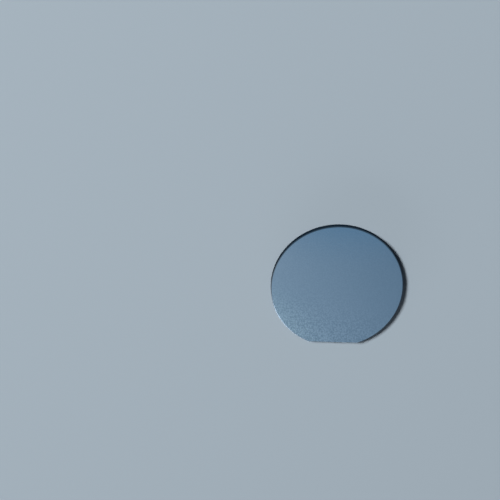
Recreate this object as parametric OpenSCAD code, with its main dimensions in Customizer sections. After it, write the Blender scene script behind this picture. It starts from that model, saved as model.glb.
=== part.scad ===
// Silicon wafer: a thick round slice of single crystal with a polished face, a lapped back,
// one orientation flat and a ground bevel all the way round both faces.
// It lies on its back face: the origin is where the disc's axis meets that face, +Z points out
// of the polished face, and -Y points out of the flat.

/* [Disc] */
// Diameter across the round rim
diameter = 100; // [60:1:200]
// Thickness from the back face to the polished face
thickness = 5; // [2:0.1:12]

/* [Orientation flat] */
// Length of the flat's straight part, between its rounded ends
flat_length = 36; // [10:1:45]
// Radius that turns each end of the flat into the rim
corner_radius = 3.2; // [1.2:0.1:6]

/* [Edge grinding] */
// How far the bevel reaches in from the rim, along a face
bevel_width = 0.6; // [0.2:0.05:0.9]
// How far the bevel reaches away from a face, along the rim
bevel_depth = 0.45; // [0.2:0.05:0.8]
// Radius that softens both edges of the bevel
blend_radius = 0.15; // [0.05:0.01:0.3]

/* [Hidden] */
$fn = 360;
silicon = [0.39, 0.50, 0.60];

// Plan view: each end of the flat turns into the rim round a corner centre, straight above that
// end. The centres are set to a whole micron, and the radius of their arcs takes up the rest.
micron = 0.001;
rim_radius = diameter / 2;
corner_x = flat_length / 2;
corner_y = -micron * round(sqrt((rim_radius - corner_radius)^2 - corner_x^2) / micron);
corner_centre = [corner_x, corner_y];
arc_radius = rim_radius - norm(corner_centre);

// The flat and its corners fill a wedge that is left open in the round body. The wedge's sides
// run through the corner centres, and its ends are shares of their distance from the axis.
wedge_root = 0.5;
wedge_tip = 2;
// How far the body behind the flat laps over the round body, past the wedge's root
root_lap = 2;

// Section through the edge: each blend begins one run away from the sharp corner it softens
bevel_angle = atan2(bevel_depth, bevel_width);
face_run = blend_radius * tan(bevel_angle / 2);
rim_run = blend_radius * tan((90 - bevel_angle) / 2);
// The section's two halves lap over each other, by this share of the thickness each
half_share = 0.6;

// Half of the edge's section, next to a face on y = 0, from the rim on x = 0 in to x = -depth
module half_section(depth) {
    down_the_bevel = [cos(bevel_angle), sin(bevel_angle)];
    face_tangent = [-bevel_width - face_run, 0];
    rim_tangent = [0, bevel_depth + rim_run];
    polygon([
        [-depth, 0],
        face_tangent,
        [-bevel_width, 0] + face_run * down_the_bevel,
        [0, bevel_depth] - rim_run * down_the_bevel,
        rim_tangent,
        [0, half_share * thickness],
        [-depth, half_share * thickness]
    ]);
    translate(face_tangent + [0, blend_radius]) circle(blend_radius);
    translate(rim_tangent - [blend_radius, 0]) circle(blend_radius);
}

// The edge's whole section, with the rim on x = reach
module edge_section(reach, depth) {
    translate([reach, 0]) half_section(depth);
    translate([reach, thickness]) mirror([0, 1]) half_section(depth);
}

// A plan outline as a cutter that passes right through both faces
module through_both_faces() {
    translate([0, 0, -thickness]) linear_extrude(3 * thickness) children();
}

// The disc with its round ground rim, open where the flat goes
module round_body() {
    to_the_left = [[-1, 0], [0, 1]];
    difference() {
        rotate_extrude() edge_section(rim_radius, rim_radius);
        through_both_faces() polygon([
            wedge_root * corner_centre, wedge_tip * corner_centre,
            wedge_tip * to_the_left * corner_centre, wedge_root * to_the_left * corner_centre
        ]);
    }
}

// The flat's ground edge from the middle to its +X end, with the silicon behind it
module half_flat() {
    depth = arc_radius - (1 - wedge_root) * corner_y + root_lap;
    translate([0, corner_y, 0]) rotate([90, 0, 90]) linear_extrude(corner_x)
        mirror([1, 0]) edge_section(arc_radius, depth);
}

// The flat's rounded +X end: a pie between the end of the flat and the wedge's side
module flat_corner() {
    intersection() {
        translate(corner_centre) rotate_extrude() edge_section(arc_radius, arc_radius);
        through_both_faces() polygon([
            corner_centre, [corner_x, wedge_tip * corner_y], wedge_tip * corner_centre
        ]);
    }
}

module wafer() {
    color(silicon) union() {
        round_body();
        for (side = [0, 1]) mirror([side, 0, 0]) {
            half_flat();
            flat_corner();
        }
    }
}

wafer();
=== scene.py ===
"""Looks of the silicon wafer: the finish of each ground or polished surface, with the stage round it.

The wafer is one piece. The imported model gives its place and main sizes, and this script sweeps the
same ground edge round the same outline in a finer mesh, with a material for each way that silicon is
worked on it. Lengths are metres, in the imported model's frame: the wafer lies on its back face at
z = 0, the polished face looks along +Z and the flat along -Y.
"""
import math

import bpy
from mathutils import Matrix, Vector


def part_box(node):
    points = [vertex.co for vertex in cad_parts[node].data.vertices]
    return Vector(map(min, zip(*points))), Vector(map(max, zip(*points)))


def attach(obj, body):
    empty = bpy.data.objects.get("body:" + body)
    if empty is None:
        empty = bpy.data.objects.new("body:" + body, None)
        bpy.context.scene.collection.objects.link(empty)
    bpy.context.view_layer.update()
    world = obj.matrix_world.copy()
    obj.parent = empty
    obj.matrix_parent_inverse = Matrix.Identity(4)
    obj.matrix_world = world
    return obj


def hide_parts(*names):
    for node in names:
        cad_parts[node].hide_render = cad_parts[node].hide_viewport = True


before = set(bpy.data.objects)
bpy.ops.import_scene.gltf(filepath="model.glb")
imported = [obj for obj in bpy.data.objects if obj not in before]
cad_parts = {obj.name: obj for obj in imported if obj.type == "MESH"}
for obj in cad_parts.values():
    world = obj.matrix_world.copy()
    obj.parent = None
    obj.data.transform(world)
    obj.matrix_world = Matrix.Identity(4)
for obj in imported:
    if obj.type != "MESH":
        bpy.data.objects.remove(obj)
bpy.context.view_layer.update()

MM = 0.001
NODE = "wafer"
PIECE = "silicon_disc"

# The wafer's main sizes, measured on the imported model
lowest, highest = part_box(NODE)
THICKNESS = highest.z - lowest.z
RIM_RADIUS = (highest.x - lowest.x) / 2
FLAT_Y = lowest.y

# The ground edge and the flat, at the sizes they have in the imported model
FLAT_HALF_LENGTH = 18 * MM
CORNER_RADIUS = 3.2 * MM
BEVEL_WIDTH = 0.6 * MM
BEVEL_DEPTH = 0.45 * MM
BLEND_RADIUS = 0.15 * MM

# How finely the outline, the edge's section and the faces are divided
RIM_STEPS = 480
CORNER_STEPS = 12
FLAT_STEPS = 36
BLEND_STEPS = 4
WALL_STEPS = 6
FACE_RINGS = 12

# The wafer's surfaces, in the order of their material slots
SURFACES = ["polished", "bevel", "rim", "back"]


def add_object(name, data):
    """A new object in the scene, which shows this data."""
    shown = bpy.data.objects.new(name, data)
    bpy.context.scene.collection.objects.link(shown)
    return shown


# ---------------------------------------------------------------- the wafer's shape

HALF_TURN = math.pi
RIGHT_ANGLE = HALF_TURN / 2


def arc_normals(start, end, steps):
    """Unit vectors that turn evenly from one angle to the other, without the last one."""
    angles = [start + (end - start) * i / steps for i in range(steps)]
    return [Vector((math.cos(a), math.sin(a))) for a in angles]


def outline():
    """Stations round the plan outline, anticlockwise from the flat's -X end: point, outward normal."""
    corner = Vector((FLAT_HALF_LENGTH, FLAT_Y + CORNER_RADIUS))
    mirrored = Vector((-corner.x, corner.y))
    corner_angle = math.atan2(corner.y, corner.x)
    stations = []
    for i in range(FLAT_STEPS):
        x = FLAT_HALF_LENGTH * (2 * i / FLAT_STEPS - 1)
        stations.append((Vector((x, FLAT_Y)), Vector((0, -1))))
    for n in arc_normals(-RIGHT_ANGLE, corner_angle, CORNER_STEPS):
        stations.append((corner + n * CORNER_RADIUS, n))
    for n in arc_normals(corner_angle, HALF_TURN - corner_angle, RIM_STEPS):
        stations.append((n * RIM_RADIUS, n))
    for n in arc_normals(HALF_TURN - corner_angle, HALF_TURN + RIGHT_ANGLE, CORNER_STEPS):
        stations.append((mirrored + n * CORNER_RADIUS, n))
    return stations


def upper_section():
    """The edge's section from the polished face down to the wall: (inset, z, tilt, surface).

    Inset is how far the point lies inside the outline, and tilt is its normal's angle above the
    horizon. Surface names what lies between the point before and this one.
    """
    bevel = math.atan2(BEVEL_DEPTH, BEVEL_WIDTH)
    face_run = BLEND_RADIUS * math.tan(bevel / 2)
    rim_run = BLEND_RADIUS * math.tan((RIGHT_ANGLE - bevel) / 2)
    bevel_tilt = RIGHT_ANGLE - bevel
    # Each blend: its centre's inset and height, the tilts it turns through, and its surface
    blends = [
        (BEVEL_WIDTH + face_run, THICKNESS - BLEND_RADIUS, RIGHT_ANGLE, bevel_tilt, "bevel"),
        (BLEND_RADIUS, THICKNESS - BEVEL_DEPTH - rim_run, bevel_tilt, 0, "rim"),
    ]
    points = []
    for inset, z, start, end, surface in blends:
        for i in range(BLEND_STEPS + 1):
            tilt = start + (end - start) * i / BLEND_STEPS
            at = (inset - BLEND_RADIUS * math.cos(tilt), z + BLEND_RADIUS * math.sin(tilt))
            points.append((*at, tilt, surface if i else "bevel"))
    return points


def mirrored_section(upper):
    """The upper section turned over, from the wall down to the back face."""
    before = ["rim"] + [surface for *_, surface in reversed(upper)]
    return [(inset, THICKNESS - z, -tilt, surface)
            for (inset, z, tilt, _), surface in zip(reversed(upper), before)]


def section():
    """The edge's whole section, from the polished face over the rim to the back face."""
    upper = upper_section()
    lower = mirrored_section(upper)
    top, bottom = upper[-1][1], lower[0][1]
    wall = []
    for i in range(1, WALL_STEPS + 1):
        wall.append((0, top + (bottom - top) * i / WALL_STEPS, 0, "rim"))
    return upper + wall + lower[1:]


def face_rings(inset, z, tilt, surface):
    """Rows that fill a face from its edge towards its middle: (scale, inset, z, tilt, surface)."""
    return [(1 - i / FACE_RINGS, inset, z, tilt, surface) for i in range(1, FACE_RINGS)]


def wafer_rows():
    """Every row of the mesh, from the polished face's middle round the edge to the back's."""
    edge = section()
    polished = face_rings(edge[0][0], THICKNESS, RIGHT_ANGLE, "polished")
    back = face_rings(edge[-1][0], 0, -RIGHT_ANGLE, "back")
    rows = list(reversed(polished))
    rows.append((1, *edge[0][:3], "polished"))
    rows += [(1, *point) for point in edge[1:]]
    return rows + back


def ring(stations, scale, inset, z, tilt):
    """The points of one row, round the whole outline, and their normals."""
    level = math.cos(tilt)
    points, normals = [], []
    for place, out in stations:
        at = (place - out * inset) * scale
        points.append((at.x, at.y, z))
        normals.append((out.x * level, out.y * level, math.sin(tilt)))
    return points, normals


def band(upper, lower, count):
    """The faces between two rows of count points, given the number of each row's first point."""
    faces = []
    for s in range(count):
        after = (s + 1) % count
        faces.append((upper + s, lower + s, lower + after, upper + after))
    return faces


def fan(middle, row, count):
    """The triangles between a middle point and the row round it, anticlockwise from above."""
    return [(middle, row + s, row + (s + 1) % count) for s in range(count)]


def wafer_mesh():
    """One closed mesh with exact normals, so that the flat faces stay flat and the blends round."""
    stations = outline()
    count = len(stations)
    points, normals, faces, surfaces = [], [], [], []
    for *row, surface in wafer_rows():
        if points:
            faces += band(len(points) - count, len(points), count)
            surfaces += [surface] * count
        ring_points, ring_normals = ring(stations, *row)
        points += ring_points
        normals += ring_normals
    last_row = len(points) - count
    top_middle = len(points)
    back_middle = top_middle + 1
    points += [(0, 0, THICKNESS), (0, 0, 0)]
    normals += [(0, 0, 1), (0, 0, -1)]
    faces += fan(top_middle, 0, count)
    faces += [(middle, b, a) for middle, a, b in fan(back_middle, last_row, count)]
    surfaces += ["polished"] * count + ["back"] * count
    mesh = bpy.data.meshes.new(PIECE)
    mesh.from_pydata(points, [], faces)
    mesh.validate()
    mesh.polygons.foreach_set("use_smooth", [True] * len(faces))
    mesh.polygons.foreach_set("material_index", [SURFACES.index(s) for s in surfaces])
    mesh.normals_split_custom_set_from_vertices(normals)
    return mesh


# ---------------------------------------------------------------- node helpers

class Nodes:
    """A material's or world's node tree, with short ways to add and join nodes."""

    def __init__(self, owner):
        owner.use_nodes = True
        self.tree = owner.node_tree
        self.tree.nodes.clear()

    def add(self, kind, inputs=None, **settings):
        """Adds a node. A link or value goes into the input socket of that name or number."""
        node = self.tree.nodes.new(kind)
        for name, value in settings.items():
            setattr(node, name, value)
        for name, value in (inputs or {}).items():
            if isinstance(value, bpy.types.NodeSocket):
                self.tree.links.new(value, node.inputs[name])
            else:
                node.inputs[name].default_value = value
        return node

    def place(self, scale=(1, 1, 1)):
        """The point in the piece's own frame, with each axis scaled."""
        coords = self.add("ShaderNodeTexCoord").outputs["Object"]
        return self.add("ShaderNodeMapping", {"Vector": coords, "Scale": scale}).outputs[0]

    def noise(self, vector, cells, detail=2.0, breakup=0.5):
        """Noise from 0 to 1. Detail counts its finer layers, and breakup is how much each one shows."""
        inputs = {"Vector": vector, "Scale": cells, "Detail": detail, "Roughness": breakup}
        return self.add("ShaderNodeTexNoise", inputs).outputs["Fac"]

    def spread(self, value, low, high, start=0.0, end=1.0, smooth=False):
        """Value's range from start to end, spread over low to high."""
        inputs = {"Value": value, "From Min": start, "From Max": end, "To Min": low, "To Max": high}
        kind = "SMOOTHSTEP" if smooth else "LINEAR"
        return self.add("ShaderNodeMapRange", inputs, interpolation_type=kind).outputs[0]

    def mix(self, share, first, second):
        """The first colour, with this share of it given over to the second.

        The node has sockets for numbers under the same names, so those for colours go by number.
        """
        inputs = {0: share, 6: first, 7: second}
        return self.add("ShaderNodeMix", inputs, data_type="RGBA").outputs[2]

    def dot(self, first, second):
        inputs = {0: first, 1: second}
        return self.add("ShaderNodeVectorMath", inputs, operation="DOT_PRODUCT").outputs["Value"]

    def maths(self, operation, first, second):
        return self.add("ShaderNodeMath", {0: first, 1: second}, operation=operation).outputs[0]

    def total(self, first, first_share, second, second_share):
        """So much of the first value and so much of the second, added up."""
        first_part = self.maths("MULTIPLY", first, first_share)
        second_part = self.maths("MULTIPLY", second, second_share)
        return self.maths("ADD", first_part, second_part)

    def bump(self, height, strength, distance):
        inputs = {"Height": height, "Strength": strength, "Distance": distance}
        return self.add("ShaderNodeBump", inputs).outputs[0]

    def principled(self, sockets):
        """Finishes a material with a Principled shader."""
        shader = self.add("ShaderNodeBsdfPrincipled", sockets)
        self.add("ShaderNodeOutputMaterial", {"Surface": shader.outputs[0]})


def srgb(red, green, blue):
    """A colour given as it looks on screen, 0 to 255, as the linear values that shaders use."""
    def linear(value):
        share = value / 255
        return share / 12.92 if share <= 0.04045 else ((share + 0.055) / 1.055) ** 2.4
    return (linear(red), linear(green), linear(blue), 1)


def new_material(name):
    material = bpy.data.materials.new(name)
    return material, Nodes(material)


# ---------------------------------------------------------------- the wafer's surfaces

# Noises are given in cells a metre, and move a surface between its two shades and its two roughness
# values. A contrast is the part of a noise's range that the shades are spread over. A relief is a
# bump's strength, and goes with a height.

# The polish has wide faint clouds. The fine mottle that the photo shows lies over them. It grows
# towards the flat's -X end, from its least at MOTTLE_START to all of it at MOTTLE_END, and its relief
# is given for none of it and for all of it
CLOUD_CELLS = 18
CLOUD_SHADES = (srgb(111, 138, 163), srgb(114, 140, 165))
CLOUD_CONTRAST = (0.3, 0.7)
POLISH_ROUGHNESS = (0.05, 0.08)
MOTTLE_CELLS = 850
MOTTLE_DETAIL = 1
# Light and dark specks of painted reflection, which stand in for reflected light catching the polish's
# fine texture
MOTTLE_AND_REFLECTION_SHADES = (srgb(96, 123, 147), srgb(126, 153, 178))
MOTTLE_CONTRAST = (0.34, 0.66)
MOTTLE_RELIEF = (0.12, 0.95)
MOTTLE_HEIGHT = 0.03 * MM
MOTTLE_TOWARDS = Vector((-0.27, -0.96, 0))
MOTTLE_START = 0 * MM
MOTTLE_END = 60 * MM
MOTTLE_LEAST = 0.13


def polished_silicon():
    """The polished face: a blue-grey mirror, with a faint mottle that grows towards one side, partly
    real texture and partly painted reflection.
    """
    material, nodes = new_material("polished_silicon")
    own_place = nodes.place()
    cells = nodes.noise(own_place, MOTTLE_CELLS, MOTTLE_DETAIL)
    # Painted reflection: the specks grow towards the flat's -X end, where reflected light shows them,
    # and the relief grows with them
    along = nodes.dot(own_place, MOTTLE_TOWARDS.normalized())
    mottle_and_painted_reflection_share = nodes.spread(along, MOTTLE_LEAST, 1, MOTTLE_START, MOTTLE_END, smooth=True)
    mottle_and_painted_reflection = nodes.mix(nodes.spread(cells, 0, 1, *MOTTLE_CONTRAST), *MOTTLE_AND_REFLECTION_SHADES)
    cloud = nodes.noise(own_place, CLOUD_CELLS)
    plain = nodes.mix(nodes.spread(cloud, 0, 1, *CLOUD_CONTRAST), *CLOUD_SHADES)
    nodes.principled({
        "Base Color": nodes.mix(mottle_and_painted_reflection_share, plain, mottle_and_painted_reflection),
        "Metallic": 1.0,
        "Roughness": nodes.spread(cloud, *POLISH_ROUGHNESS),
        "Normal": nodes.bump(cells, nodes.spread(mottle_and_painted_reflection_share, *MOTTLE_RELIEF), MOTTLE_HEIGHT),
    })
    return material


BEVEL_CELLS = 5000
BEVEL_SHADES = (srgb(80, 94, 108), srgb(94, 108, 122))
BEVEL_ROUGHNESS = (0.24, 0.34)
BEVEL_RELIEF = 0.4
BEVEL_HEIGHT = 0.004 * MM


def ground_bevel():
    """The bevel and its blend into the face: finer ground than the rim, so it takes a brighter glint."""
    material, nodes = new_material("ground_bevel")
    grain = nodes.noise(nodes.place(), BEVEL_CELLS)
    nodes.principled({
        "Base Color": nodes.mix(grain, *BEVEL_SHADES),
        "Metallic": 1.0,
        "Roughness": nodes.spread(grain, *BEVEL_ROUGHNESS),
        "Normal": nodes.bump(grain, BEVEL_RELIEF, BEVEL_HEIGHT),
    })
    return material


# The wheel's lines are cells drawn out round the rim: few a metre along X and Y, many along Z
LINE_CELLS = (30, 30, 2600)
LINE_DETAIL = 3
LINE_BREAKUP = 0.6
RIM_CELLS = 2500
# How much of the shade and of the relief comes from the lines and from the grain
RIM_SHADE_SHARES = (0.5, 0.5)
RIM_RELIEF_SHARES = (1, 0.6)
RIM_SHADES = (srgb(56, 72, 86), srgb(86, 103, 117))
RIM_CONTRAST = (0.36, 0.64)
RIM_ROUGHNESS = (0.4, 0.56)
RIM_RELIEF = 0.5
RIM_HEIGHT = 0.01 * MM
# A metal brightens at a glancing angle. This rim hardly does, so its tint there is black
RIM_GLANCE = (0, 0, 0, 1)


def ground_rim():
    """The rim: coarse ground silicon, dark blue-grey, with the wheel's lines running along it."""
    material, nodes = new_material("ground_rim")
    lines = nodes.noise(nodes.place(LINE_CELLS), 1, LINE_DETAIL, LINE_BREAKUP)
    grain = nodes.noise(nodes.place(), RIM_CELLS)
    line_shade, grain_shade = RIM_SHADE_SHARES
    line_relief, grain_relief = RIM_RELIEF_SHARES
    shade = nodes.total(lines, line_shade, grain, grain_shade)
    height = nodes.total(lines, line_relief, grain, grain_relief)
    nodes.principled({
        "Base Color": nodes.mix(nodes.spread(shade, 0, 1, *RIM_CONTRAST), *RIM_SHADES),
        "Metallic": 1.0,
        "Specular Tint": RIM_GLANCE,
        "Roughness": nodes.spread(lines, *RIM_ROUGHNESS),
        "Normal": nodes.bump(height, RIM_RELIEF, RIM_HEIGHT),
    })
    return material


BACK_CELLS = 3000
BACK_DETAIL = 3
BACK_BREAKUP = 0.6
BACK_PATCH_CELLS = 60
# How much of the shade comes from the grain and from the wide patches
BACK_SHADE_SHARES = (0.6, 0.4)
BACK_SHADES = (srgb(104, 112, 118), srgb(138, 146, 152))
BACK_ROUGHNESS = (0.5, 0.68)
BACK_RELIEF = 0.6
BACK_HEIGHT = 0.012 * MM


def lapped_back():
    """The back face: matt grey, as lapping leaves it."""
    material, nodes = new_material("lapped_back")
    grain = nodes.noise(nodes.place(), BACK_CELLS, BACK_DETAIL, BACK_BREAKUP)
    patches = nodes.noise(nodes.place(), BACK_PATCH_CELLS)
    grain_shade, patch_shade = BACK_SHADE_SHARES
    nodes.principled({
        "Base Color": nodes.mix(nodes.total(grain, grain_shade, patches, patch_shade), *BACK_SHADES),
        "Metallic": 0.0,
        "Roughness": nodes.spread(grain, *BACK_ROUGHNESS),
        "Normal": nodes.bump(grain, BACK_RELIEF, BACK_HEIGHT),
    })
    return material


def make_wafer():
    """The dressed wafer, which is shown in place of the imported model's one node."""
    mesh = wafer_mesh()
    finish = {
        "polished": polished_silicon(),
        "bevel": ground_bevel(),
        "rim": ground_rim(),
        "back": lapped_back(),
    }
    for surface in SURFACES:
        mesh.materials.append(finish[surface])
    piece = add_object(PIECE, mesh)
    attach(piece, "root")
    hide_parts(NODE)


# ---------------------------------------------------------------- the camera

# Where the photographer's lens is, seen from the wafer, and the spot on the floor it points at
CAMERA_PLACE = Vector((-0.0938, 0.4186, 0.9079))
CAMERA_AIM = Vector((-0.0667, 0.0269, 0))
# The picture's top is towards +Y, but for this roll
CAMERA_UP = Vector((0, 1, 0))
CAMERA_ROLL = math.radians(2.34)
# In millimetres, on the sensor that a new camera has in Blender
CAMERA_LENS = 95.1


def make_camera():
    data = bpy.data.cameras.new("camera")
    data.lens = CAMERA_LENS
    camera = add_object("camera", data)
    back = (CAMERA_PLACE - CAMERA_AIM).normalized()
    right = CAMERA_UP.cross(back).normalized()
    up = back.cross(right)
    axes = Matrix((right, up, back)).transposed()
    turned = axes @ Matrix.Rotation(CAMERA_ROLL, 3, "Z")
    camera.matrix_world = Matrix.Translation(CAMERA_PLACE) @ turned.to_4x4()
    bpy.context.scene.camera = camera


# ---------------------------------------------------------------- the floor

FLOOR_HALF_WIDTH = 6
FLOOR_COLOUR = srgb(170, 185, 198)
FLOOR_ROUGHNESS = 0.9
FLOOR_GLOSS = 0.1
# The floor stays just clear of the back face, so that the two aren't in one plane
FLOOR_GAP = 0.02 * MM


def make_floor():
    mesh = bpy.data.meshes.new("floor")
    signs = [(-1, -1), (1, -1), (1, 1), (-1, 1)]
    corners = [(x * FLOOR_HALF_WIDTH, y * FLOOR_HALF_WIDTH, -FLOOR_GAP) for x, y in signs]
    mesh.from_pydata(corners, [], [(0, 1, 2, 3)])
    floor = add_object("floor", mesh)
    material, nodes = new_material("floor")
    nodes.principled({
        "Base Color": FLOOR_COLOUR,
        "Roughness": FLOOR_ROUGHNESS,
        "Specular IOR Level": FLOOR_GLOSS,
    })
    mesh.materials.append(material)


# ---------------------------------------------------------------- lamps and studio

def towards(turn, height):
    """The direction so many degrees round from +X and so many above the floor."""
    turn, height = math.radians(turn), math.radians(height)
    level = math.cos(height)
    return Vector((level * math.cos(turn), level * math.sin(turn), math.sin(height)))


class Lamp:
    """A soft box that faces the wafer: angles in degrees, sizes in metres, power in watts."""

    def __init__(self, turn, height, width, tall, power, colour):
        self.direction = towards(turn, height)
        self.width = width
        self.tall = tall
        self.power = power
        self.colour = colour


LAMP_DISTANCE = 8
# The main lamp, at the camera's left: it lights the floor and throws the wafer's shadow on it
KEY = Lamp(turn=148, height=43.5, width=2.2, tall=2.2, power=755, colour=(1, 0.98, 0.95))
# A long low lamp past the flat, whose glint draws the bevel as a line
STRIP = Lamp(turn=252, height=4.2, width=10.4, tall=1.12, power=450, colour=(1, 1, 1))


def make_lamp(name, lamp):
    data = bpy.data.lights.new(name, "AREA")
    data.shape = "RECTANGLE"
    data.size = lamp.width
    data.size_y = lamp.tall
    data.energy = lamp.power
    data.color = lamp.colour
    box = add_object(name, data)
    box.location = lamp.direction * LAMP_DISTANCE
    box.rotation_mode = "QUATERNION"
    box.rotation_quaternion = lamp.direction.to_track_quat("Z", "Y")
    box.visible_camera = False
    return box


def make_lamps():
    """Both lamps. Mirrors don't see the main one, or it would be a white square in the polish."""
    make_lamp("key", KEY).visible_glossy = False
    make_lamp("strip", STRIP)


class Patch:
    """A round soft-edged patch of the studio, as mirrors see it. Angles are in degrees."""

    def __init__(self, turn, height, inner, outer, colour):
        self.direction = towards(turn, height)
        self.inner = math.cos(math.radians(inner))
        self.outer = math.cos(math.radians(outer))
        self.colour = colour


# The studio that the polish mirrors: dim and bluish, but for these patches
DIM_STUDIO = (0.34, 0.455, 0.53, 1)
PATCHES = [
    # the pale wall that the main view finds in most of the polish, fading towards +X
    Patch(turn=222, height=45, inner=31, outer=47, colour=(1.08, 1.05, 1.02, 1)),
    # a glow on it, found near the flat's -X end
    Patch(turn=266, height=59, inner=1, outer=8, colour=(1.88, 1.86, 1.51, 1)),
    # a dimmer, bluer patch, found farthest from the flat
    Patch(turn=291, height=74, inner=3, outer=9.2, colour=(0.26, 0.58, 0.77, 1)),
]
# What the studio's walls add to the lamps' light
FILL_COLOUR = (0.8, 0.9, 1, 1)
FILL_STRENGTH = 0.04


def make_world():
    """The studio round the wafer: what mirrors and the camera see, and a weak plain fill light."""
    world = bpy.data.worlds.new("studio")
    bpy.context.scene.world = world
    nodes = Nodes(world)
    direction = nodes.add("ShaderNodeTexCoord").outputs["Generated"]
    colour = DIM_STUDIO
    for patch in PATCHES:
        closeness = nodes.dot(direction, patch.direction)
        share = nodes.spread(closeness, 0, 1, patch.outer, patch.inner, smooth=True)
        colour = nodes.mix(share, colour, patch.colour)
    seen = nodes.add("ShaderNodeBackground", {"Color": colour, "Strength": 1.0})
    fill = nodes.add("ShaderNodeBackground", {"Color": FILL_COLOUR, "Strength": FILL_STRENGTH})
    path = nodes.add("ShaderNodeLightPath").outputs
    shown = nodes.maths("MAXIMUM", path["Is Camera Ray"], path["Is Glossy Ray"])
    mixed = nodes.add("ShaderNodeMixShader", {0: shown, 1: fill.outputs[0], 2: seen.outputs[0]})
    nodes.add("ShaderNodeOutputWorld", {"Surface": mixed.outputs[0]})


make_camera()
make_wafer()
make_floor()
make_world()
make_lamps()
bpy.context.scene.view_settings.view_transform = "Standard"
